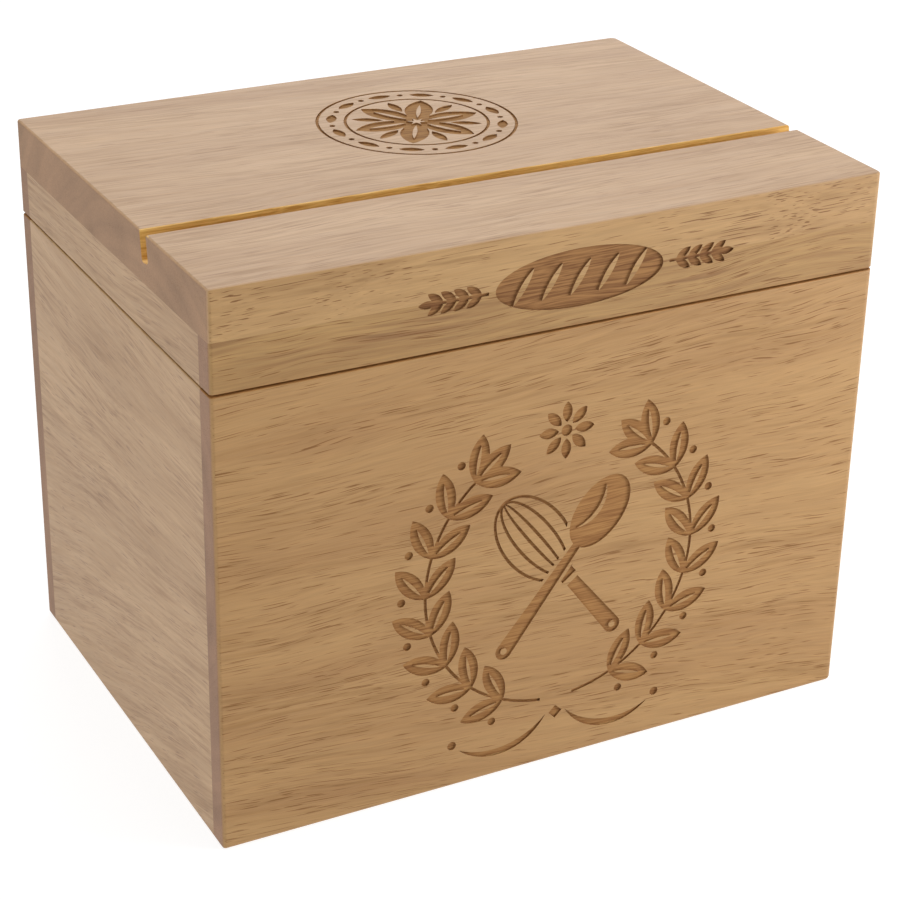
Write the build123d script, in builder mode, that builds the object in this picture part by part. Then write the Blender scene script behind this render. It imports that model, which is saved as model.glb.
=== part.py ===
"""Wooden recipe card box: a glued box of thin boards, with a hinged lid that holds a card in a slot."""

from math import cos, degrees, radians, sin, tan
import os

from build123d import *

os.makedirs("parts", exist_ok=True)

# ---------------------------------------------------------------- driving dimensions, in millimetres
# Boards. Width runs along X, depth along Y from the front (-Y) to the back (+Y), height along Z.
box_width = 178.0
box_depth = 127.0
body_height = 119.5
lid_height = 24.9
seam_gap = 0.5  # between the body's rim and the lid's rim
front_thickness = 6.0  # front and back boards and the lid's front and back rails
side_thickness = 6.0  # side boards and the lid's side rails
lid_board_thickness = 12.5

# Bottom panel, let into a groove in all four body boards.
panel_thickness = 4.0
panel_height = 2.0  # from the foot of the box up to the panel
groove_depth = 3.0
groove_clearance = 0.1  # above the panel
groove_end_clearance = 0.2  # beyond the panel's edge

# Eased edges.
corner_radius = 1.0  # upright corners on the left, and the foot
right_corner_radius = 1.8  # upright corners on the right, sanded rounder
rim_radius = 0.4  # edges along the seam
top_radius = 0.6  # edges of the lid's top face

# Card slot, cut from end to end of the lid board and leaning so that a card tips back.
slot_width = 3.9
slot_depth = 7.2
slot_tilt = 8.0  # degrees from upright
slot_from_front = 38.0  # from the front face to the middle of the slot's mouth
slot_bottom_radius = 1.0  # left by the rounded teeth of the saw
slot_ease = 0.2  # the two edges of the mouth, broken by sandpaper

# Hinges: two small butt hinges screwed to the outside of the back.
hinge_from_end = 30.0  # from the end of the box to the middle of a hinge
hinge_width = 25.0
leaf_height = 9.0  # from the pin's axis to a leaf's free edge
leaf_thickness = 0.9
leaf_corner = 1.0
knuckle_radius = 1.5
knuckle_length = 8.4  # of the middle knuckle, which belongs to the lid
knuckle_end_gap = 0.25  # between neighbouring knuckles
knuckle_standoff = 0.2  # between the knuckle and the wood
knuckle_relief = 0.3  # between a knuckle and the other leaf's edge
pin_radius = 0.75
pin_clearance = 0.05
pin_end = 0.4  # how far the pin stands out of the knuckles at each end
pin_end_radius = 0.25

# Screws of the hinges.
screw_spacing = 16.0  # between the two screws of a leaf
screw_height = 5.6  # from the pin's axis
screw_head_radius = 1.6
screw_radius = 0.85
screw_length = 5.0
screw_tip = 1.2
countersink_angle = 82.0
screw_clearance = 0.05
recess_length = 1.9  # cross recess of the head
recess_width = 0.42
recess_depth = 0.45

# Engraving.
engrave_depth = 0.5
fine_line = 0.8
front_motif_x = 2.0
front_motif_z = 56.0
lid_motif_x = 4.0
lid_motif_below_top = 12.9
top_motif_x = 3.0
top_motif_from_back = 44.5

# ---------------------------------------------------------------- places worked out from the sizes
hinge_proud = knuckle_standoff + 2 * knuckle_radius  # how far the hinges stand out of the back
front_y = -(box_depth + hinge_proud) / 2
back_y = front_y + box_depth
mid_y = (front_y + back_y) / 2
inner_width = box_width - 2 * side_thickness
inner_depth = box_depth - 2 * front_thickness
lid_bottom = body_height + seam_gap
lid_board_bottom = lid_bottom + lid_height - lid_board_thickness
box_top = lid_bottom + lid_height
rail_height = lid_height - lid_board_thickness
axis_y = back_y + knuckle_standoff + knuckle_radius
axis_z = body_height + seam_gap / 2

front_plane = Plane(origin=(0, front_y, 0), x_dir=(1, 0, 0), z_dir=(0, -1, 0))
top_plane = Plane(origin=(0, 0, box_top))


def finish(builder, name):
    """Label a finished piece and write its file."""
    builder.part.label = name
    export_step(builder.part, f"parts/{name}.step")


# ---------------------------------------------------------------- engraved ornament, drawn flat
def leaf_shape(length, width):
    """A pointed leaf from the origin along +X, of two arcs."""
    with BuildSketch() as leaf:
        with BuildLine():
            SagittaArc((0, 0), (length, 0), width / 2)
            SagittaArc((length, 0), (0, 0), width / 2)
        make_face()
    return leaf.sketch


midrib_share = 0.62  # shares of the leaf's length
midrib_start = 0.14
midrib_weight = 0.16  # share of the leaf's width


def veined_leaf_shape(length, width):
    """A pointed leaf with its midrib left standing."""
    blade = leaf_shape(length, width)
    midrib = leaf_shape(midrib_share * length, midrib_weight * width)
    with BuildSketch() as leaf:
        add(blade)
        with Locations((midrib_start * length, 0)):
            add(midrib, mode=Mode.SUBTRACT)
    return leaf.sketch


def crescent_shape(span, rise, weight):
    """A tapering stroke from the origin along +X that bows up by rise and is weight thick in the middle."""
    with BuildSketch() as crescent:
        with BuildLine():
            SagittaArc((0, 0), (span, 0), -(rise + weight))
            SagittaArc((0, 0), (span, 0), -rise)
        make_face()
    return crescent.sketch


# Spoon, upright with its bowl at the top, centred on its own middle.
spoon_length = 55.0
spoon_bowl_length = 21.0
spoon_bowl_width = 14.0
handle_neck_width = 1.8
handle_width = 3.6
handle_end_width = 4.6
handle_hole_radius = 0.9
spoon_bowl_y = (spoon_length - spoon_bowl_length) / 2
spoon_foot_y = (handle_end_width - spoon_length) / 2


def spoon_outline(margin):
    """The spoon's plain outline, grown all round by a margin."""
    with BuildSketch() as outline:
        with Locations((0, spoon_bowl_y)):
            Ellipse(spoon_bowl_width / 2 + margin, spoon_bowl_length / 2 + margin)
        with BuildLine():
            Polyline(
                (-handle_neck_width / 2 - margin, spoon_bowl_y),
                (handle_neck_width / 2 + margin, spoon_bowl_y),
                (handle_end_width / 2 + margin, spoon_foot_y),
                (-handle_end_width / 2 - margin, spoon_foot_y),
                close=True,
            )
        make_face()
        with Locations((0, spoon_foot_y)):
            Circle(handle_end_width / 2 + margin)
    return outline.sketch


bowl_shine_length = 13.0
bowl_shine_rise = 2.0
bowl_shine_weight = 1.1
bowl_shine_offset = 3.1
bowl_shine = crescent_shape(bowl_shine_length, bowl_shine_rise, bowl_shine_weight)
with BuildSketch() as spoon:
    add(spoon_outline(0))
    with Locations((0, spoon_foot_y)):
        Circle(handle_hole_radius, mode=Mode.SUBTRACT)
    with Locations((-bowl_shine_offset, spoon_bowl_y - bowl_shine_length / 2)):
        add(bowl_shine, rotation=90, mode=Mode.SUBTRACT)

# Whisk, upright with its wires at the top, centred on its own middle.
whisk_length = 55.0
whisk_wires_length = 30.0
whisk_wires_width = 17.0
whisk_wire_spreads = (1.0, 0.56, 0.16)  # widths of the three loops of wire, as shares of the widest
whisk_wire_step = 0.5  # how much shorter the inner loops are
whisk_collar = 3.0
wires_y = (whisk_length - whisk_wires_length) / 2
collar_y = whisk_length / 2 - whisk_wires_length
whisk_foot_y = (handle_end_width - whisk_length) / 2
with BuildSketch() as whisk:
    for spread in whisk_wire_spreads:
        half_width = spread * whisk_wires_width / 2
        half_length = whisk_wires_length / 2 - whisk_wire_step * (1 - spread)
        with Locations((0, wires_y)):
            Ellipse(half_width + fine_line / 2, half_length)
            Ellipse(half_width - fine_line / 2, half_length - fine_line, mode=Mode.SUBTRACT)
    with Locations((0, collar_y)):
        Rectangle(handle_end_width, whisk_collar)
    with BuildLine():
        Polyline(
            (-handle_width / 2, collar_y - whisk_collar),
            (handle_width / 2, collar_y - whisk_collar),
            (handle_end_width / 2, whisk_foot_y),
            (-handle_end_width / 2, whisk_foot_y),
            close=True,
        )
    make_face()
    with Locations((0, whisk_foot_y)):
        Circle(handle_end_width / 2)
        Circle(handle_hole_radius, mode=Mode.SUBTRACT)

# Leafy branch, growing up the right side of a circle about the origin.
wreath_radius = 37.5
branch_foot = -83.0  # degrees round the circle
first_leaf_at = -66.0
last_leaf_at = 49.0
branch_tip = 51.3
branch_leaf_pairs = 8
leaf_length = 12.5
leaf_width = 5.4
leaf_lean = 40.0  # degrees between a leaf and the stem
berry_radius = 1.1
berry_from_stem = 6.4
berry_past_leaf = 0.5
branch_leaf = veined_leaf_shape(leaf_length, leaf_width)
with BuildSketch() as branch:
    with BuildLine():
        CenterArc((0, 0), wreath_radius, branch_foot, branch_tip - branch_foot)
    trace(line_width=fine_line)
    for pair in range(branch_leaf_pairs):
        leaf_at = first_leaf_at + pair * (last_leaf_at - first_leaf_at) / (branch_leaf_pairs - 1)
        with Locations((wreath_radius * cos(radians(leaf_at)), wreath_radius * sin(radians(leaf_at)))):
            add(branch_leaf, rotation=leaf_at + 90 + leaf_lean)
            add(branch_leaf, rotation=leaf_at + 90 - leaf_lean)
        berry_at = leaf_at + degrees(berry_past_leaf / wreath_radius)
        with PolarLocations(wreath_radius + berry_from_stem, 1, start_angle=berry_at):
            Circle(berry_radius)
    with Locations((wreath_radius * cos(radians(last_leaf_at)), wreath_radius * sin(radians(last_leaf_at)))):
        add(branch_leaf, rotation=last_leaf_at + 90)

# Small daisy of pointed petals round a button.
daisy_petals = 8
daisy_petal_length = 5.4
daisy_petal_width = 2.7
daisy_button_radius = 1.5
daisy_petal_gap = 0.7
daisy_petal = leaf_shape(daisy_petal_length, daisy_petal_width)
with BuildSketch() as daisy:
    with PolarLocations(daisy_button_radius + daisy_petal_gap, daisy_petals):
        add(daisy_petal)
    Circle(daisy_button_radius)

# Flourish: two strokes that sweep out from a diamond.
flourish_span = 25.0
flourish_rise = 4.2
flourish_weight = 2.0
flourish_droop = 9.0  # degrees
flourish_dot_x = 29.5
flourish_dot_drop = 2.0
flourish_dot_radius = 1.2
diamond_radius = 1.9
diamond_gap = 0.9
flourish_stroke = crescent_shape(flourish_span, flourish_rise, flourish_weight)
with BuildSketch() as flourish:
    with Locations((diamond_radius + diamond_gap, 0)):
        add(flourish_stroke, rotation=-flourish_droop)
    with Locations((flourish_dot_x, -flourish_dot_drop)):
        Circle(flourish_dot_radius)
    mirror(about=Plane.YZ)
    RegularPolygon(diamond_radius, 4)

# Front motif: crossed spoon and whisk in a wreath, a daisy at its opening and a flourish at its foot.
utensil_lean = 38.0
utensil_drop = 0.5  # from the wreath's centre down to the crossing
crossing_gap = 0.9
daisy_height = 37.0  # above the wreath's centre
flourish_drop = 42.0  # below the wreath's centre
spoon_surround = spoon_outline(crossing_gap)
with BuildSketch() as front_motif:
    add(branch.sketch)
    mirror(branch.sketch, about=Plane.YZ)
    with Locations((0, -utensil_drop)):
        add(whisk.sketch, rotation=utensil_lean)
        add(spoon_surround, rotation=-utensil_lean, mode=Mode.SUBTRACT)
        add(spoon.sketch, rotation=-utensil_lean)
    with Locations((0, daisy_height)):
        add(daisy.sketch)
    with Locations((0, -flourish_drop)):
        add(flourish.sketch)

# Ear of wheat from the origin along +X.
ear_rows = 4
ear_row_pitch = 3.3
ear_first_row = 1.8
grain_length = 4.8
grain_width = 2.0
grain_lean = 33.0
grain = leaf_shape(grain_length, grain_width)
with BuildSketch() as wheat_ear:
    with BuildLine():
        Line((0, 0), (ear_first_row + ear_rows * ear_row_pitch, 0))
    trace(line_width=fine_line)
    for row in range(ear_rows):
        with Locations((ear_first_row + row * ear_row_pitch, 0)):
            add(grain, rotation=grain_lean)
            add(grain, rotation=-grain_lean)
    with Locations((ear_first_row + (ear_rows - 0.5) * ear_row_pitch, 0)):
        add(grain)

# Lid motif: a scored loaf between two ears of wheat.
loaf_length = 45.0
loaf_height = 14.6
loaf_scores = 5
loaf_score_length = 10.0
loaf_score_width = 1.5
loaf_score_pitch = 7.6
loaf_score_lean = 58.0
ear_from_middle = 24.2
loaf_score = leaf_shape(loaf_score_length, loaf_score_width).moved(Location((-loaf_score_length / 2, 0)))
with BuildSketch() as lid_motif:
    Ellipse(loaf_length / 2, loaf_height / 2)
    with GridLocations(loaf_score_pitch, 0, loaf_scores, 1):
        add(loaf_score, rotation=loaf_score_lean, mode=Mode.SUBTRACT)
    with Locations((ear_from_middle, 0)):
        add(wheat_ear.sketch)
    with Locations((-ear_from_middle, 0)):
        add(wheat_ear.sketch, rotation=180)

# Top motif: a compass-drawn rosette in a ring of dots and small leaves.
rosette_petals = 6
rosette_petal_length = 16.5
rosette_petal_width = 7.4
rosette_eye_radius = 0.9
rosette_small_petal_start = 8.6
rosette_small_petal_length = 8.2
rosette_small_petal_width = 2.7
rosette_inner_ring = 18.4
rosette_outer_ring = 25.6
rosette_ring_leaves = 12
rosette_ring_leaf_length = 6.6
rosette_ring_leaf_width = 2.7
rosette_dot_radius = 0.8
rosette_petal = veined_leaf_shape(rosette_petal_length, rosette_petal_width)
rosette_small_petal = leaf_shape(rosette_small_petal_length, rosette_small_petal_width)
rosette_ring_leaf = leaf_shape(rosette_ring_leaf_length, rosette_ring_leaf_width).moved(
    Location((-rosette_ring_leaf_length / 2, 0))
)
rosette_ring_middle = (rosette_inner_ring + rosette_outer_ring) / 2
with BuildSketch() as top_motif:
    for ring_radius in (rosette_outer_ring, rosette_inner_ring):
        Circle(ring_radius + fine_line / 2)
        Circle(ring_radius - fine_line / 2, mode=Mode.SUBTRACT)
    with PolarLocations(rosette_eye_radius, rosette_petals):
        add(rosette_petal)
    with PolarLocations(rosette_small_petal_start, rosette_petals, start_angle=180 / rosette_petals):
        add(rosette_small_petal)
    with PolarLocations(rosette_ring_middle, rosette_ring_leaves):
        add(rosette_ring_leaf, rotation=90)
    with PolarLocations(rosette_ring_middle, rosette_ring_leaves, start_angle=180 / rosette_ring_leaves):
        Circle(rosette_dot_radius)


# ---------------------------------------------------------------- engravings, laid on their faces
with BuildSketch(front_plane) as front_engraving:
    with Locations((front_motif_x, front_motif_z)):
        add(front_motif.sketch)
with BuildSketch(front_plane) as lid_engraving:
    with Locations((lid_motif_x, box_top - lid_motif_below_top)):
        add(lid_motif.sketch)
with BuildSketch(top_plane) as top_engraving:
    with Locations((top_motif_x, back_y - top_motif_from_back)):
        add(top_motif.sketch)


# ---------------------------------------------------------------- hinge planes, pilot holes and the screw
# Every hinge part is drawn on the outside of the back, seen from behind, about the pin's axis.
pilot_radius = screw_radius + screw_clearance
pilot_depth = screw_length + screw_clearance - leaf_thickness
hinge_places = {"left": -(box_width / 2 - hinge_from_end), "right": box_width / 2 - hinge_from_end}


def back_plane(hinge_x):
    """The plane of the box's back, its origin beside the middle of a hinge."""
    return Plane(origin=(hinge_x, back_y, axis_z), x_dir=(-1, 0, 0), z_dir=(0, 1, 0))


with BuildPart() as pilot_holes:
    for hinge_x in hinge_places.values():
        with BuildSketch(back_plane(hinge_x)):
            with GridLocations(screw_spacing, 2 * screw_height, 2, 2):
                Circle(pilot_radius)
    extrude(amount=-pilot_depth)

with BuildPart() as screw:
    with BuildSketch(Plane.XZ):
        with BuildLine():
            Polyline(
                (0, 0),
                (screw_head_radius, 0),
                (screw_radius, -(screw_head_radius - screw_radius) / tan(radians(countersink_angle / 2))),
                (screw_radius, screw_tip - screw_length),
                (0, -screw_length),
                close=True,
            )
        make_face()
    revolve(axis=Axis.Z)
    with BuildSketch(Plane.XY):
        Rectangle(recess_length, recess_width)
        Rectangle(recess_width, recess_length)
    extrude(amount=-recess_depth, mode=Mode.SUBTRACT)


# ---------------------------------------------------------------- body boards
def ease_uprights(block):
    """Rounds the upright edges of a block: the two on the left, then the two on the right."""
    fillet(block.edges().filter_by(Axis.Z).sort_by(Axis.X)[:2], corner_radius)
    fillet(block.edges().filter_by(Axis.Z).sort_by(Axis.X)[-2:], right_corner_radius)


# The whole body block with its edges eased; each board is the part of it that lies in the board's place.
with BuildPart() as body_block:
    with Locations((0, mid_y, 0)):
        Box(box_width, box_depth, body_height, align=(Align.CENTER, Align.CENTER, Align.MIN))
    ease_uprights(body_block)
    fillet(body_block.faces().sort_by(Axis.Z)[0].edges(), corner_radius)
    fillet(body_block.faces().sort_by(Axis.Z)[-1].edges(), rim_radius)

# Groove for the bottom panel, cut into the inner faces of the four boards.
with BuildPart() as panel_groove:
    with Locations((0, mid_y, panel_height)):
        Box(
            inner_width + 2 * groove_depth,
            inner_depth + 2 * groove_depth,
            panel_thickness + groove_clearance,
            align=(Align.CENTER, Align.CENTER, Align.MIN),
        )

with BuildPart() as front_panel:
    with Locations((0, front_y + front_thickness / 2, body_height / 2)):
        Box(box_width, front_thickness, body_height)
    add(body_block.part, mode=Mode.INTERSECT)
    add(panel_groove.part, mode=Mode.SUBTRACT)
    extrude(front_engraving.sketch, amount=-engrave_depth, mode=Mode.SUBTRACT)
finish(front_panel, "front_panel")

with BuildPart() as back_panel:
    with Locations((0, back_y - front_thickness / 2, body_height / 2)):
        Box(box_width, front_thickness, body_height)
    add(body_block.part, mode=Mode.INTERSECT)
    add(panel_groove.part, mode=Mode.SUBTRACT)
    add(pilot_holes.part, mode=Mode.SUBTRACT)
finish(back_panel, "back_panel")

for side, direction in (("left", -1), ("right", 1)):
    with BuildPart() as side_board:
        with Locations((direction * (inner_width + side_thickness) / 2, mid_y, body_height / 2)):
            Box(side_thickness, inner_depth, body_height)
        add(body_block.part, mode=Mode.INTERSECT)
        add(panel_groove.part, mode=Mode.SUBTRACT)
    finish(side_board, f"{side}_side")

with BuildPart() as bottom_panel:
    with Locations((0, mid_y, panel_height)):
        Box(
            inner_width + 2 * (groove_depth - groove_end_clearance),
            inner_depth + 2 * (groove_depth - groove_end_clearance),
            panel_thickness,
            align=(Align.CENTER, Align.CENTER, Align.MIN),
        )
finish(bottom_panel, "bottom_panel")


# ---------------------------------------------------------------- lid boards
with BuildPart() as lid_block:
    with Locations((0, mid_y, lid_bottom)):
        Box(box_width, box_depth, lid_height, align=(Align.CENTER, Align.CENTER, Align.MIN))
    ease_uprights(lid_block)
    fillet(lid_block.faces().sort_by(Axis.Z)[0].edges(), rim_radius)
    fillet(lid_block.faces().sort_by(Axis.Z)[-1].edges(), top_radius)

# Slot for a card, right through both ends; its mouth is centred on slot_from_front.
slot_plane = Plane(origin=(0, front_y + slot_from_front, box_top), x_dir=(0, 1, 0), z_dir=(1, 0, 0))
half_mouth = slot_width / (2 * cos(radians(slot_tilt)))
ease_run = slot_ease * tan(radians(slot_tilt))
with BuildPart() as card_slot:
    with BuildSketch(slot_plane):
        with Locations((-slot_depth * tan(radians(slot_tilt)), -slot_depth)):
            RectangleRounded(
                slot_width, 2 * slot_depth, slot_bottom_radius, rotation=-slot_tilt, align=(Align.CENTER, Align.MIN)
            )
        with BuildLine():
            Polyline(
                (-half_mouth - slot_ease, 0),
                (half_mouth + slot_ease, 0),
                (half_mouth - ease_run, -slot_ease),
                (-half_mouth - ease_run, -slot_ease),
                close=True,
            )
        make_face()
    extrude(amount=box_width / 2, both=True)

with BuildPart() as lid_top:
    with Locations((0, mid_y, lid_board_bottom)):
        Box(box_width, box_depth, lid_board_thickness, align=(Align.CENTER, Align.CENTER, Align.MIN))
    add(lid_block.part, mode=Mode.INTERSECT)
    add(card_slot.part, mode=Mode.SUBTRACT)
    extrude(top_engraving.sketch, amount=-engrave_depth, mode=Mode.SUBTRACT)
    extrude(lid_engraving.sketch, amount=-engrave_depth, mode=Mode.SUBTRACT)
finish(lid_top, "lid_top")

with BuildPart() as lid_front_rail:
    with Locations((0, front_y + front_thickness / 2, lid_bottom + rail_height / 2)):
        Box(box_width, front_thickness, rail_height)
    add(lid_block.part, mode=Mode.INTERSECT)
    extrude(lid_engraving.sketch, amount=-engrave_depth, mode=Mode.SUBTRACT)
finish(lid_front_rail, "lid_front_rail")

with BuildPart() as lid_back_rail:
    with Locations((0, back_y - front_thickness / 2, lid_bottom + rail_height / 2)):
        Box(box_width, front_thickness, rail_height)
    add(lid_block.part, mode=Mode.INTERSECT)
    add(pilot_holes.part, mode=Mode.SUBTRACT)
finish(lid_back_rail, "lid_back_rail")

for side, direction in (("left", -1), ("right", 1)):
    with BuildPart() as side_rail:
        with Locations((direction * (inner_width + side_thickness) / 2, mid_y, lid_bottom + rail_height / 2)):
            Box(side_thickness, inner_depth, rail_height)
        add(lid_block.part, mode=Mode.INTERSECT)
    finish(side_rail, f"lid_{side}_rail")


# ---------------------------------------------------------------- hinges
outer_knuckle_length = (hinge_width - knuckle_length) / 2 - knuckle_end_gap
knuckle_reach = knuckle_radius + knuckle_relief
outer_knuckle_x = (hinge_width - outer_knuckle_length) / 2
pin_plane = Plane(origin=(0, axis_y, axis_z), x_dir=(0, 1, 0), z_dir=(1, 0, 0))

for side, hinge_x in hinge_places.items():
    for owner, upward, knuckles in (
        ("body", -1, ((-outer_knuckle_x, outer_knuckle_length), (outer_knuckle_x, outer_knuckle_length))),
        ("lid", 1, ((0, knuckle_length),)),
    ):
        with BuildPart() as leaf:
            with BuildSketch(back_plane(hinge_x)) as leaf_plate:
                with Locations((0, upward * leaf_height / 2)):
                    Rectangle(hinge_width, leaf_height)
                fillet(leaf_plate.vertices().group_by(Axis.Z)[-1 if upward > 0 else 0], leaf_corner)
                Rectangle(hinge_width, 2 * knuckle_reach, mode=Mode.SUBTRACT)
                for knuckle_x, length in knuckles:
                    with Locations((knuckle_x, upward * knuckle_reach / 2)):
                        Rectangle(length, knuckle_reach)
            extrude(amount=leaf_thickness)
            for knuckle_x, length in knuckles:
                with BuildSketch(pin_plane.offset(hinge_x + knuckle_x)):
                    Circle(knuckle_radius)
                extrude(amount=length / 2, both=True)
            with BuildSketch(pin_plane.offset(hinge_x)):
                Circle(pin_radius + (pin_clearance if owner == "lid" else 0))
            extrude(amount=hinge_width / 2, both=True, mode=Mode.SUBTRACT)
            with Locations(back_plane(hinge_x).offset(leaf_thickness)):
                with Locations((0, upward * screw_height)):
                    with GridLocations(screw_spacing, 0, 2, 1):
                        CounterSinkHole(
                            screw_radius + screw_clearance,
                            screw_head_radius + screw_clearance,
                            counter_sink_angle=countersink_angle,
                        )
        finish(leaf, f"{side}_hinge_{owner}_leaf")

        with BuildPart() as screws:
            with Locations(back_plane(hinge_x).offset(leaf_thickness)):
                with Locations((0, upward * screw_height)):
                    with GridLocations(screw_spacing, 0, 2, 1):
                        add(screw.part)
        finish(screws, f"{side}_hinge_{owner}_screws")

    with BuildPart() as pin:
        with BuildSketch(pin_plane.offset(hinge_x)):
            Circle(pin_radius)
        extrude(amount=hinge_width / 2 + pin_end, both=True)
        fillet(pin.edges().filter_by(GeomType.CIRCLE), pin_end_radius)
    finish(pin, f"{side}_hinge_pin")
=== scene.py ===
"""A wooden recipe card box: oiled rubberwood, burnt ornament, a slot for a card and two brass hinges."""

import math
from types import SimpleNamespace

import bpy
from mathutils import Matrix, Vector

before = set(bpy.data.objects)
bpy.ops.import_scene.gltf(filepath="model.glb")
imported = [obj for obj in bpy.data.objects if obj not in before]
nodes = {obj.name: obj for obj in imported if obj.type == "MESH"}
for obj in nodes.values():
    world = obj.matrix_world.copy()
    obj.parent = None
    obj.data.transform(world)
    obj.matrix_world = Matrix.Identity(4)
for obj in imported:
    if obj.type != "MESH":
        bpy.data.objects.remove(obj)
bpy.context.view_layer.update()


# ---------------------------------------------------------------------------------------------------------
# Front board. Rubberwood, a pale tan hardwood: flat-sawn, planed, sanded and wiped with a thin satin oil.
# Its grain runs from end to end. A laser has burnt the wreath, the whisk and the spoon 0.5 mm into its face.
# ---------------------------------------------------------------------------------------------------------

MM = 0.001


def linear(hex_colour):
    """Turns an sRGB colour such as "#c8a070" into the linear colour that a shader takes."""
    channels = []
    for place in (1, 3, 5):
        share = int(hex_colour[place:place + 2], 16) / 255
        channels.append(share / 12.92 if share <= 0.04045 else ((share + 0.055) / 1.055) ** 2.4)
    return (*channels, 1.0)


def add(tree, kind, inputs=None, **settings):
    """Adds a node. Settings are its properties, and inputs its sockets: each a value or an output to link."""
    made = tree.nodes.new(kind)
    for name, value in settings.items():
        setattr(made, name, value)
    for key, value in (inputs or {}).items():
        if isinstance(value, bpy.types.NodeSocket):
            tree.links.new(value, made.inputs[key])
        else:
            made.inputs[key].default_value = value
    return made


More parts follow.
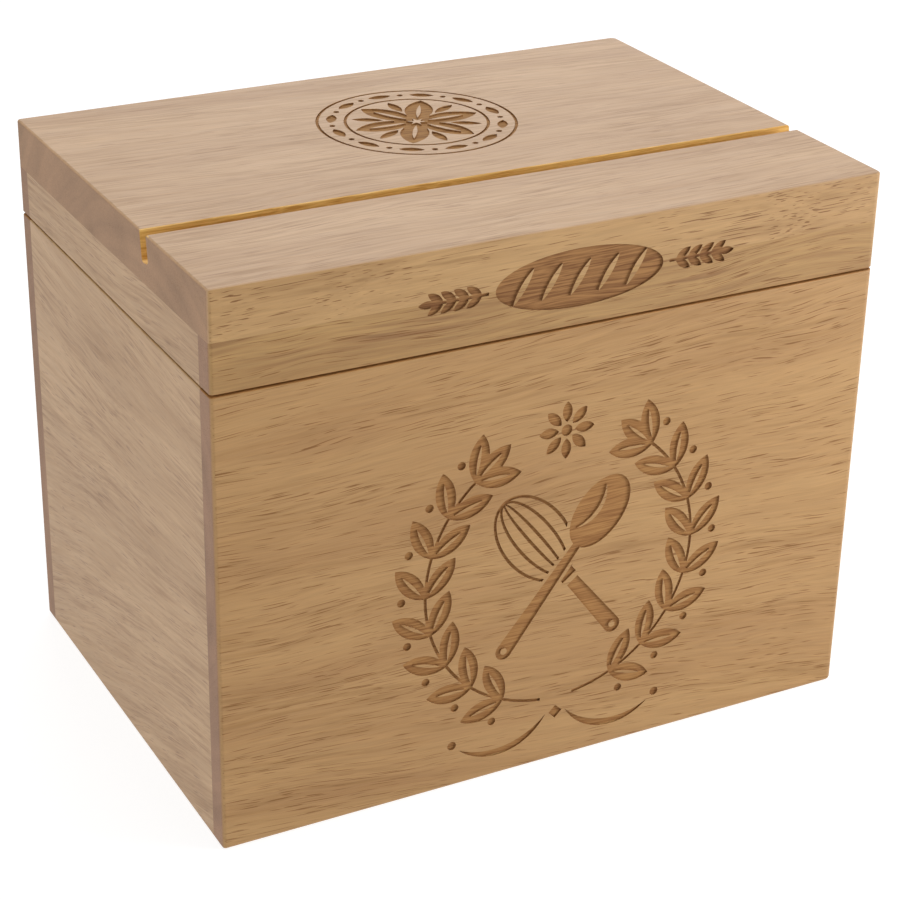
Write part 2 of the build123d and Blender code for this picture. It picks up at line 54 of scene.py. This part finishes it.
def rubberwood(name, grain, across, cut_at, figure, pith, tones, pores=(0.9, 0.9), stripes=1.0):
    """Starts a board's material: rubberwood with its grain along one axis and its face across another.

    cut_at: where along the log the board was sawn, in mm, so that no two boards share a figure.
    figure: how the grain lies on the face. Its lean in degrees, how much it fans out along the board, as a
    share per millimetre, and its dive into the board in degrees.
    pith: the middle of the log from the middle of the box, across the face and down through the board, in mm.
    tones: the pale wood, the tan wood, the streaks, the open pores and the end grain.
    pores: how far open pores show on the face and on the edge. stripes: how far streaks and fibres show.
    """
    lean, fan, dive = figure
    pale, tan, streak, pore, end = (linear(tone) for tone in tones)
    material = bpy.data.materials.new(name)
    material.use_nodes = True
    tree = material.node_tree
    tree.nodes.clear()
    through = ({"X", "Y", "Z"} - {grain, across}).pop()

    # The log's own frame in millimetres: x along the grain, y across the face, z down through the board.
    surface = add(tree, "ShaderNodeTexCoord")
    place = add(tree, "ShaderNodeSeparateXYZ", {0: surface.outputs["Object"]})
    turned = add(tree, "ShaderNodeCombineXYZ", {
        0: place.outputs[grain], 1: place.outputs[across], 2: place.outputs[through],
    })
    log = add(tree, "ShaderNodeMapping", {
        "Vector": turned.outputs[0],
        "Location": (0, -pith[0], -pith[1]),
        "Rotation": (0, math.radians(dive), math.radians(-lean)),
        "Scale": (1 / MM, 1 / MM, 1 / MM),
    })
    log_place = add(tree, "ShaderNodeSeparateXYZ", {0: log.outputs[0]})
    spread = add(tree, "ShaderNodeMath", {
        0: log_place.outputs[0], 1: fan, 2: 1,
    }, operation="MULTIPLY_ADD")
    fanned = add(tree, "ShaderNodeMath", {
        0: log_place.outputs[1], 1: spread.outputs[0],
    }, operation="MULTIPLY")
    along = add(tree, "ShaderNodeMath", {0: log_place.outputs[0], 1: cut_at}, operation="ADD")
    straight = add(tree, "ShaderNodeCombineXYZ", {
        0: along.outputs[0], 1: fanned.outputs[0], 2: log_place.outputs[2],
    })

    def cells(source, length, width, depth):
        """Stretches space into cells of the given length, width and depth in millimetres."""
        stretched = add(tree, "ShaderNodeVectorMath", {
            0: source.outputs[0], 1: (1 / length, 1 / width, 1 / depth),
        }, operation="MULTIPLY")
        return stretched.outputs[0]

    # The grain wanders by a millimetre or two over a hand's width.
    wander = (0, 9, 2)
    drift = add(tree, "ShaderNodeTexNoise", {
        "Vector": cells(straight, 75, 22, 40), "Scale": 1, "Detail": 2.5,
    })
    centred = add(tree, "ShaderNodeVectorMath", {
        0: drift.outputs["Color"], 1: (0.5, 0.5, 0.5),
    }, operation="SUBTRACT")
    shift = add(tree, "ShaderNodeVectorMath", {0: centred.outputs[0], 1: wander}, operation="MULTIPLY")
    bent = add(tree, "ShaderNodeVectorMath", {
        0: straight.outputs[0], 1: shift.outputs[0],
    }, operation="ADD")

    # Growth rings, about 7 mm apart, cut into long soft bands. Clouds of colour lie over them.
    ring_spacing = 7
    from_pith = add(tree, "ShaderNodeVectorMath", {
        0: bent.outputs[0], 1: (0, 1 / ring_spacing, 1 / ring_spacing),
    }, operation="MULTIPLY")
    radius = add(tree, "ShaderNodeVectorMath", {0: from_pith.outputs[0]}, operation="LENGTH")
    rings = add(tree, "ShaderNodeTexNoise", {
        "W": radius.outputs["Value"], "Scale": 1, "Detail": 3, "Roughness": 0.6,
    }, noise_dimensions="1D")
    clouds = add(tree, "ShaderNodeTexNoise", {"Vector": cells(bent, 75, 17, 17), "Scale": 1, "Detail": 2})
    ring_share = add(tree, "ShaderNodeMapRange", {
        "Value": rings.outputs[0], "From Min": 0.32, "From Max": 0.7,
    })
    cloud_share = add(tree, "ShaderNodeMapRange", {
        "Value": clouds.outputs[0], "From Min": 0.34, "From Max": 0.66,
    })
    broad = add(tree, "ShaderNodeMix", {0: 0.5, 2: ring_share.outputs[0], 3: cloud_share.outputs[0]})
    ground = add(tree, "ShaderNodeMix", {0: broad.outputs[0], 6: pale, 7: tan}, data_type="RGBA")

    # Streaks a few centimetres long and a millimetre or two wide, and fibres half a millimetre wide. They
    # gather in patches and leave the wood between them smooth.
    patches = add(tree, "ShaderNodeTexNoise", {"Vector": cells(bent, 48, 11, 11), "Scale": 1, "Detail": 1})
    patch_share = add(tree, "ShaderNodeMapRange", {
        "Value": patches.outputs[0], "From Min": 0.35, "From Max": 0.65,
        "To Min": 0.35 * stripes, "To Max": 1.3 * stripes,
    })
    streak_noise = add(tree, "ShaderNodeTexNoise", {
        "Vector": cells(bent, 28, 1.1, 1.6), "Scale": 1, "Detail": 2, "Roughness": 0.6,
    })
    streak_lines = add(tree, "ShaderNodeMapRange", {
        "Value": streak_noise.outputs[0], "From Min": 0.44, "From Max": 0.86,
    })
    streak_share = add(tree, "ShaderNodeMath", {
        0: streak_lines.outputs[0], 1: patch_share.outputs[0],
    }, operation="MULTIPLY", use_clamp=True)
    streaked = add(tree, "ShaderNodeMix", {
        0: streak_share.outputs[0], 6: ground.outputs[2], 7: streak,
    }, data_type="RGBA")
    fibres = add(tree, "ShaderNodeTexNoise", {
        "Vector": cells(bent, 14, 0.4, 0.4), "Scale": 1, "Detail": 2, "Roughness": 0.6,
    })
    fibre_swing = 0.13 * stripes
    fibre_tone = add(tree, "ShaderNodeMapRange", {
        "Value": fibres.outputs[0], "From Min": 0.25, "From Max": 0.75,
        "To Min": 1 + fibre_swing, "To Max": 1 - fibre_swing,
    })
    fibrous = add(tree, "ShaderNodeHueSaturation", {
        "Color": streaked.outputs[2], "Value": fibre_tone.outputs[0],
    })

    # Pores: vessels that the saw has opened lengthwise, as dark dashes a third of a millimetre wide.
    vessels = add(tree, "ShaderNodeTexNoise", {
        "Vector": cells(bent, 11, 0.28, 0.28), "Scale": 1, "Detail": 0.5,
    })
    least = add(tree, "ShaderNodeMapRange", {
        "Value": patches.outputs[0], "From Min": 0.3, "From Max": 0.7, "To Min": 0.69, "To Max": 0.61,
    })
    above = add(tree, "ShaderNodeMath", {0: vessels.outputs[0], 1: least.outputs[0]}, operation="SUBTRACT")
    dashes = add(tree, "ShaderNodeMapRange", {"Value": above.outputs[0], "From Min": 0, "From Max": 0.07})
    facing = add(tree, "ShaderNodeVectorMath", {0: surface.outputs["Normal"]}, operation="ABSOLUTE")
    facings = add(tree, "ShaderNodeSeparateXYZ", {0: facing.outputs[0]})
    pore_depth = add(tree, "ShaderNodeMapRange", {
        "Value": facings.outputs[through], "From Min": 0.3, "From Max": 0.7,
        "To Min": pores[1], "To Max": pores[0],
    })
    open_pores = add(tree, "ShaderNodeMath", {
        0: dashes.outputs[0], 1: pore_depth.outputs[0],
    }, operation="MULTIPLY")
    long_grain = add(tree, "ShaderNodeMix", {
        0: open_pores.outputs[0], 6: fibrous.outputs[0], 7: pore,
    }, data_type="RGBA")

    # End grain: the cut ends of the fibres drink the oil and turn mauve brown, with clouds and dark flecks.
    end_pore_share = 0.4
    is_end = add(tree, "ShaderNodeMapRange", {
        "Value": facings.outputs[grain], "From Min": 0.6, "From Max": 0.9,
    }, interpolation_type="SMOOTHSTEP")
    end_cloud = add(tree, "ShaderNodeMapRange", {"Value": broad.outputs[0], "To Min": 1.16, "To Max": 0.84})
    end_value = add(tree, "ShaderNodeMath", {
        0: end_cloud.outputs[0], 1: fibre_tone.outputs[0],
    }, operation="MULTIPLY")
    end_ground = add(tree, "ShaderNodeHueSaturation", {"Color": end, "Value": end_value.outputs[0]})
    end_pores = add(tree, "ShaderNodeMath", {0: dashes.outputs[0], 1: end_pore_share}, operation="MULTIPLY")
    end_tone = add(tree, "ShaderNodeMix", {
        0: end_pores.outputs[0], 6: end_ground.outputs[0], 7: pore,
    }, data_type="RGBA")
    colour = add(tree, "ShaderNodeMix", {
        0: is_end.outputs[0], 6: long_grain.outputs[2], 7: end_tone.outputs[2],
    }, data_type="RGBA")

    # Eased edges: the sandpaper has turned them over, and a paler line is painted along them: a painted
    # highlight, where the rounded edges catch the light.
    widest = add(tree, "ShaderNodeMath", {0: facings.outputs[0], 1: facings.outputs[1]}, operation="MAXIMUM")
    widest = add(tree, "ShaderNodeMath", {0: widest.outputs[0], 1: facings.outputs[2]}, operation="MAXIMUM")
    edge_highlight_share = add(tree, "ShaderNodeMapRange", {
        "Value": widest.outputs[0], "From Min": 0.98, "From Max": 0.85, "To Max": 0.5,
    })
    edge_highlighted = add(tree, "ShaderNodeMix", {
        0: edge_highlight_share.outputs[0], 6: colour.outputs[2], 7: pale,
    }, data_type="RGBA")

    # Satin oil: a little duller in the streaks, and nearly matt on the thirsty end grain.
    end_roughness = 0.72
    satin = add(tree, "ShaderNodeMapRange", {
        "Value": streak_noise.outputs[0], "To Min": 0.44, "To Max": 0.6,
    })
    roughness = add(tree, "ShaderNodeMix", {0: is_end.outputs[0], 2: satin.outputs[0], 3: end_roughness})
    height = add(tree, "ShaderNodeMath", {
        0: fibres.outputs[0], 1: open_pores.outputs[0],
    }, operation="SUBTRACT")
    return SimpleNamespace(
        material=material, tree=tree, place=place, facings=facings, is_end=is_end.outputs[0],
        colour=edge_highlighted.outputs[2], roughness=roughness.outputs[0], height=height.outputs[0],
        lines=fibres.outputs[0],
    )


def within(wood, box):
    """Returns 1 inside a box and 0 outside. The box has a lowest and a highest value per axis, in mm."""
    share = None
    for axis, (low, high) in box.items():
        middle, half = (low + high) / 2 * MM, (high - low) / 2 * MM
        inside = add(wood.tree, "ShaderNodeMath", {
            0: wood.place.outputs[axis], 1: middle, 2: half,
        }, operation="COMPARE").outputs[0]
        if share is not None:
            inside = add(wood.tree, "ShaderNodeMath", {0: share, 1: inside}, operation="MULTIPLY").outputs[0]
        share = inside
    return share


def refinish(wood, share, tones, roughness):
    """Gives part of a board a new colour and roughness. Its fibres draw lines from one tone to the other."""
    lines = add(wood.tree, "ShaderNodeMapRange", {"Value": wood.lines, "From Min": 0.36, "From Max": 0.66})
    tone = add(wood.tree, "ShaderNodeMix", {
        0: lines.outputs[0], 6: linear(tones[0]), 7: linear(tones[1]),
    }, data_type="RGBA")
    colour = add(wood.tree, "ShaderNodeMix", {
        0: share, 6: wood.colour, 7: tone.outputs[2],
    }, data_type="RGBA")
    gloss = add(wood.tree, "ShaderNodeMix", {0: share, 2: wood.roughness, 3: roughness})
    wood.colour, wood.roughness = colour.outputs[2], gloss.outputs[0]


def oiled(wood):
    """Closes a board's material under its oil. The light just catches the relief of its fibres and pores."""
    relief = add(wood.tree, "ShaderNodeBump", {
        "Height": wood.height, "Strength": 0.25, "Distance": 0.05 * MM,
    })
    finish = add(wood.tree, "ShaderNodeBsdfPrincipled", {
        "Base Color": wood.colour, "Roughness": wood.roughness, "Normal": relief.outputs[0], "IOR": 1.5,
    })
    add(wood.tree, "ShaderNodeOutputMaterial", {"Surface": finish.outputs[0]})
    return wood.material


golden = ("#b18955", "#a07645", "#906834", "#784900", "#99765d")
front_wood = rubberwood(
    "oiled_rubberwood_front", grain="X", across="Z", cut_at=520,
    figure=(0.3, -0.0016, 1.2), pith=(80, -10), tones=golden, stripes=0.8,
)

# The laser leaves the floor and walls of the ornament brown, matt and lined with darker fibres. A field is
# the space round one ornament that starts a hair's breadth under the face.
scorched = ("#a57844", "#825428")
scorched_roughness = 0.9
front_face = -65.1
field_depth = (0.08, 1.5)
front_skin = (front_face + field_depth[0], front_face + field_depth[1])
wreath_field = {"Y": front_skin, "X": (-50, 54), "Z": (6, 106)}
refinish(front_wood, within(front_wood, wreath_field), scorched, scorched_roughness)

# The faces along the seam, where a saw parted the lid from the box, are painted matt and a little browner:
# painted shade, so that the gap between lid and box reads as a dark brown line.
seam_faces = {"Z": (119.3, 120.2)}
seam_shade_tones = ("#b07e45", "#a0713a")
sawn_roughness = 0.8
refinish(front_wood, within(front_wood, seam_faces), seam_shade_tones, sawn_roughness)
nodes["front_panel"].material_slots[0].material = oiled(front_wood)


# ---------------------------------------------------------------------------------------------------------
# Back board. The same planed and oiled rubberwood, sawn further along the log. The sides are glued to its
# inner face, so its own end grain shows at the corners, as the front board's does.
# ---------------------------------------------------------------------------------------------------------

back_wood = rubberwood(
    "oiled_rubberwood_back", grain="X", across="Z", cut_at=900,
    figure=(-1, 0.0015, 1.5), pith=(45, 20), tones=golden, stripes=0.8,
)
# Painted shade: the faces along the seam are painted browner, so that the gap reads as a dark line.
refinish(back_wood, within(back_wood, seam_faces), seam_shade_tones, sawn_roughness)
nodes["back_panel"].material_slots[0].material = oiled(back_wood)


# ---------------------------------------------------------------------------------------------------------
# Side boards. Flat-sawn rubberwood near the middle of the log, greyer than the front: partly its own tone,
# partly painted sheen, the pale veil of grazing light painted into the wood's colour. Their figure runs to a
# point along the board. Their ends are glued to the inner faces of the front and the back.
# ---------------------------------------------------------------------------------------------------------

greyer_with_painted_sheen = ("#c29e76", "#ab8760", "#8f6844", "#744c2c", "#99765d")
# On the sides the faces along the seam are painted paler instead: painted light, so that the shaded gap reads
# fainter there.
seam_light_tones = ("#cdac7e", "#bb986a")
for side, cut_at, pith_through in (("left", 1500, -66), ("right", 2100, 62)):
    side_wood = rubberwood(
        f"oiled_rubberwood_{side}_side", grain="Y", across="Z", cut_at=cut_at,
        figure=(-2, -0.004, 2.5), pith=(82, pith_through), tones=greyer_with_painted_sheen, pores=(0.5, 0.5), stripes=0.7,
    )
    refinish(side_wood, within(side_wood, seam_faces), seam_light_tones, sawn_roughness)
    nodes[f"{side}_side"].material_slots[0].material = oiled(side_wood)


# ---------------------------------------------------------------------------------------------------------
# Bottom panel. Birch plywood 4 mm thick, sanded and left bare, slid into a groove round the four boards.
# Its face veneer has a long cloudy figure and short dark flecks.
# ---------------------------------------------------------------------------------------------------------

ply = bpy.data.materials.new("sanded_birch_plywood")
ply.use_nodes = True
ply_tree = ply.node_tree
ply_tree.nodes.clear()
ply_place = add(ply_tree, "ShaderNodeTexCoord")
ply_log = add(ply_tree, "ShaderNodeMapping", {
    "Vector": ply_place.outputs["Object"], "Scale": (1 / (60 * MM), 1 / (5 * MM), 1 / (2 * MM)),
})
ply_figure = add(ply_tree, "ShaderNodeTexNoise", {
    "Vector": ply_log.outputs[0], "Scale": 1, "Detail": 4, "Roughness": 0.6, "Distortion": 0.6,
})
ply_flecks = add(ply_tree, "ShaderNodeMapping", {
    "Vector": ply_place.outputs["Object"], "Scale": (1 / (4 * MM), 1 / (0.5 * MM), 1 / (1 * MM)),
})
ply_fleck_noise = add(ply_tree, "ShaderNodeTexNoise", {
    "Vector": ply_flecks.outputs[0], "Scale": 1, "Detail": 1,
})
ply_colour = add(ply_tree, "ShaderNodeMix", {
    0: ply_figure.outputs[0], 6: linear("#dcc39c"), 7: linear("#c3a379"),
}, data_type="RGBA")
ply_fleck_share = add(ply_tree, "ShaderNodeMapRange", {
    "Value": ply_fleck_noise.outputs[0], "From Min": 0.6, "From Max": 0.8, "To Max": 0.35,
})
ply_flecked = add(ply_tree, "ShaderNodeMix", {
    0: ply_fleck_share.outputs[0], 6: ply_colour.outputs[2], 7: linear("#96734b"),
}, data_type="RGBA")
ply_relief = add(ply_tree, "ShaderNodeBump", {
    "Height": ply_fleck_noise.outputs[0], "Strength": 0.3, "Distance": 0.05 * MM,
})
ply_finish = add(ply_tree, "ShaderNodeBsdfPrincipled", {
    "Base Color": ply_flecked.outputs[2], "Roughness": 0.7, "Normal": ply_relief.outputs[0], "IOR": 1.45,
})
add(ply_tree, "ShaderNodeOutputMaterial", {"Surface": ply_finish.outputs[0]})
nodes["bottom_panel"].material_slots[0].material = ply


# ---------------------------------------------------------------------------------------------------------
# Lid board. Rubberwood 12.5 mm thick, cut nearer the bark, so it is pinker with few open pores. Its paler tone
# is partly its own and partly painted sheen: the pale veil that light lays on its top, painted into the wood's
# colour.
# A saw has cut the card slot through its whole length, and a laser has burnt the rosette into its top.
# ---------------------------------------------------------------------------------------------------------

pinker_with_painted_sheen = ("#c39f79", "#b28d68", "#9a754c", "#7a4c0a", "#a17e60")
lid_wood = rubberwood(
    "oiled_rubberwood_lid", grain="X", across="Y", cut_at=3650,
    figure=(0, 0.001, 1), pith=(-25, 90), tones=pinker_with_painted_sheen, pores=(0.45, 0.9), stripes=0.8,
)

# The walls and the bottom of the slot are painted a bright gold, far paler than the wood: painted bounce
# light, the glow of light caught between the walls, with the matt finish of sawn wood.
lid_top_face = 144.9
slot_bottom = lid_top_face - 7.2
slot_box = {"Y": (-30.3, -24.7), "Z": (slot_bottom - 0.5, lid_top_face - 0.02)}
slot_bounce_light_share = add(lid_wood.tree, "ShaderNodeMath", {
    0: within(lid_wood, slot_box), 1: lid_wood.is_end,
}, operation="SUBTRACT", use_clamp=True)
refinish(lid_wood, slot_bounce_light_share.outputs[0], ("#f6cd86", "#d09d50"), sawn_roughness)

# Its long edges are painted more golden than its faces: partly the edge grain, cut across the growth rings,
# and partly painted sheen, as the paler top stands for the sheen that light lays on it.
is_long_edge = add(lid_wood.tree, "ShaderNodeMapRange", {
    "Value": lid_wood.facings.outputs["Y"], "From Min": 0.6, "From Max": 0.8,
})
edge_grain_and_sheen_tone = add(lid_wood.tree, "ShaderNodeMix", {
    0: is_long_edge.outputs[0], 6: lid_wood.colour, 7: linear("#efe8c7"),
}, data_type="RGBA", blend_type="MULTIPLY")
lid_wood.colour = edge_grain_and_sheen_tone.outputs[2]

# A slower pass of the laser has burnt the loaf and its ears of wheat darker than the other ornaments.
dark_scorched = ("#9d7142", "#704621")
top_skin = (lid_top_face - field_depth[1], lid_top_face - field_depth[0])
rosette_field = {"Z": top_skin, "X": (-25, 31), "Y": (-11, 46)}
loaf_field = {"Y": front_skin, "X": (-40, 48), "Z": (123, 141)}
refinish(lid_wood, within(lid_wood, rosette_field), ("#b0834f", "#845b32"), scorched_roughness)
refinish(lid_wood, within(lid_wood, loaf_field), dark_scorched, scorched_roughness)
nodes["lid_top"].material_slots[0].material = oiled(lid_wood)


# ---------------------------------------------------------------------------------------------------------
# Lid rails. Four strips of oiled rubberwood glued under the lid board, flush with its edges. The loaf and
# its wheat ears cross the joint between the board and the front rail.
# ---------------------------------------------------------------------------------------------------------

browner = ("#ae8851", "#936c3b", "#80562b", "#764600", "#99765d")
for side, cut_at in (("front", 3500), ("back", 4100)):
    rail_wood = rubberwood(
        f"oiled_rubberwood_lid_{side}_rail", grain="X", across="Z", cut_at=cut_at,
        figure=(0.5, 0, 1), pith=(40, 60), tones=browner,
    )
    if side == "front":
        refinish(rail_wood, within(rail_wood, loaf_field), dark_scorched, scorched_roughness)
    # Painted shade: the faces along the seam are painted browner, so that the gap reads as a dark line.
    refinish(rail_wood, within(rail_wood, seam_faces), seam_shade_tones, sawn_roughness)
    nodes[f"lid_{side}_rail"].material_slots[0].material = oiled(rail_wood)
# The side rails share the side boards' greyer tones, which are partly painted sheen.
for side, cut_at in (("left", 1810), ("right", 2410)):
    rail_wood = rubberwood(
        f"oiled_rubberwood_lid_{side}_rail", grain="Y", across="Z", cut_at=cut_at,
        figure=(-2, 0, 2), pith=(60, 40), tones=greyer_with_painted_sheen, pores=(0.5, 0.5), stripes=0.7,
    )
    # Painted light: the faces along the seam are painted paler, so that the shaded gap reads fainter on the
    # side rails.
    refinish(rail_wood, within(rail_wood, seam_faces), seam_light_tones, sawn_roughness)
    nodes[f"lid_{side}_rail"].material_slots[0].material = oiled(rail_wood)


# ---------------------------------------------------------------------------------------------------------
# Hinges. Two small butt hinges of stamped sheet brass, tumbled satin, with a brass pin in three knuckles.
# Brass screws hold their leaves to the back board and to the lid's back rail.
# ---------------------------------------------------------------------------------------------------------

def brass(name, colour, dull_colour, roughness, grit):
    """Brass: a warm yellow metal. Grit, in mm, is the size of the fine marks that tumbling or turning left."""
    material = bpy.data.materials.new(name)
    material.use_nodes = True
    tree = material.node_tree
    tree.nodes.clear()
    place = add(tree, "ShaderNodeTexCoord")
    marks = add(tree, "ShaderNodeTexNoise", {
        "Vector": place.outputs["Object"], "Scale": 1 / (grit * MM), "Detail": 3,
    })

    # A thin dull film lies on the metal in patches 4 mm wide.
    film = add(tree, "ShaderNodeTexNoise", {
        "Vector": place.outputs["Object"], "Scale": 1 / (4 * MM), "Detail": 2,
    })
    film_share = add(tree, "ShaderNodeMapRange", {
        "Value": film.outputs[0], "From Min": 0.3, "From Max": 0.9,
    })
    tone = add(tree, "ShaderNodeMix", {
        0: film_share.outputs[0], 6: linear(colour), 7: linear(dull_colour),
    }, data_type="RGBA")
    gloss = add(tree, "ShaderNodeMapRange", {
        "Value": marks.outputs[0], "To Min": roughness - 0.1, "To Max": roughness + 0.1,
    })
    relief = add(tree, "ShaderNodeBump", {
        "Height": marks.outputs[0], "Strength": 0.12, "Distance": 0.01 * MM,
    })
    metal = add(tree, "ShaderNodeBsdfPrincipled", {
        "Base Color": tone.outputs[2], "Metallic": 1, "Roughness": gloss.outputs[0],
        "Normal": relief.outputs[0],
    })
    add(tree, "ShaderNodeOutputMaterial", {"Surface": metal.outputs[0]})
    return material


tumbled_brass = brass("tumbled_satin_brass", "#d9b566", "#b8934d", roughness=0.34, grit=0.35)
turned_brass = brass("turned_bright_brass", "#e3c274", "#c7a258", roughness=0.24, grit=0.2)
for side in ("left", "right"):
    for piece in ("body_leaf", "lid_leaf", "pin"):
        nodes[f"{side}_hinge_{piece}"].material_slots[0].material = tumbled_brass
    for piece in ("body_screws", "lid_screws"):
        nodes[f"{side}_hinge_{piece}"].material_slots[0].material = turned_brass


# ---------------------------------------------------------------------------------------------------------
# Studio. The box stands on a wide sheet of white paper that is lit to a plain white. A broad light hangs
# overhead, a small one stands near the front's right end, and two more light the left side and the back.
# ---------------------------------------------------------------------------------------------------------

paper_reach = 12.0
paper_corners = [
    (-paper_reach, -paper_reach, 0), (paper_reach, -paper_reach, 0),
    (paper_reach, paper_reach, 0), (-paper_reach, paper_reach, 0),
]
paper_mesh = bpy.data.meshes.new("paper_sheet")
paper_mesh.from_pydata(paper_corners, [], [(0, 1, 2, 3)])
paper_sheet = bpy.data.objects.new("paper_sheet", paper_mesh)
bpy.context.scene.collection.objects.link(paper_sheet)

# The paper glows a little, less under the overhead light than out where that light fades.
paper = bpy.data.materials.new("matt_white_paper")
paper.use_nodes = True
paper_tree = paper.node_tree
paper_tree.nodes.clear()
paper_place = add(paper_tree, "ShaderNodeTexCoord")
paper_distance = add(paper_tree, "ShaderNodeVectorMath", {
    0: paper_place.outputs["Object"],
}, operation="LENGTH")
paper_glow = add(paper_tree, "ShaderNodeMapRange", {
    "Value": paper_distance.outputs["Value"],
    "From Min": 0.4, "From Max": 1.6, "To Min": 0.815, "To Max": 0.93,
}, interpolation_type="SMOOTHSTEP")
paper_finish = add(paper_tree, "ShaderNodeBsdfPrincipled", {
    "Base Color": linear("#949494"), "Roughness": 0.9, "Emission Color": (1, 1, 1, 1),
    "Emission Strength": paper_glow.outputs[0],
})
add(paper_tree, "ShaderNodeOutputMaterial", {"Surface": paper_finish.outputs[0]})
paper_mesh.materials.append(paper)

world = bpy.data.worlds.new("white_studio")
bpy.context.scene.world = world
world.use_nodes = True
world_light = world.node_tree.nodes["Background"]
world_light.inputs["Color"].default_value = (1, 1, 1, 1)
world_light.inputs["Strength"].default_value = 0.28


def soft_light(name, place, aim, size, watts):
    """A square soft box at one point in metres that faces another."""
    light = bpy.data.lights.new(name, "AREA")
    light.size = size
    light.energy = watts
    lamp = bpy.data.objects.new(name, light)
    lamp.location = place
    lamp.rotation_euler = (Vector(aim) - Vector(place)).to_track_quat("-Z", "Y").to_euler()
    bpy.context.scene.collection.objects.link(lamp)


soft_light("overhead_light", place=(0, 0, 1.3), aim=(0, 0, 0.1), size=1.0, watts=8.4)
soft_light("left_fill", place=(-1.2, -0.2, 0.35), aim=(0, 0, 0.07), size=0.8, watts=2.15)
soft_light("front_right_fill", place=(0.44, -0.34, 0.2), aim=(0.07, -0.06, 0.06), size=0.25, watts=1.95)
soft_light("back_panel_light", place=(0.76, 1.42, 0.87), aim=(0, 0, 0.1), size=1.2, watts=9)


# ---------------------------------------------------------------------------------------------------------
# Camera. A long lens in front of the left corner, looking down on the lid and turned a degree out of level.
# ---------------------------------------------------------------------------------------------------------

camera_place = Vector((-263.45, -503.3, 338.68)) * MM
camera_aim = Vector((0, -9.74, 63.58)) * MM
camera_roll = 1.1
camera_lens = bpy.data.cameras.new("camera")
camera_lens.lens = 95.12
camera_lens.sensor_width = 36
camera = bpy.data.objects.new("camera", camera_lens)
looking = (camera_aim - camera_place).to_track_quat("-Z", "Y").to_matrix()
turned_looking = looking @ Matrix.Rotation(math.radians(camera_roll), 3, "Z")
camera.matrix_world = Matrix.Translation(camera_place) @ turned_looking.to_4x4()
bpy.context.scene.collection.objects.link(camera)
bpy.context.scene.camera = camera
bpy.context.scene.view_settings.view_transform = "Standard"
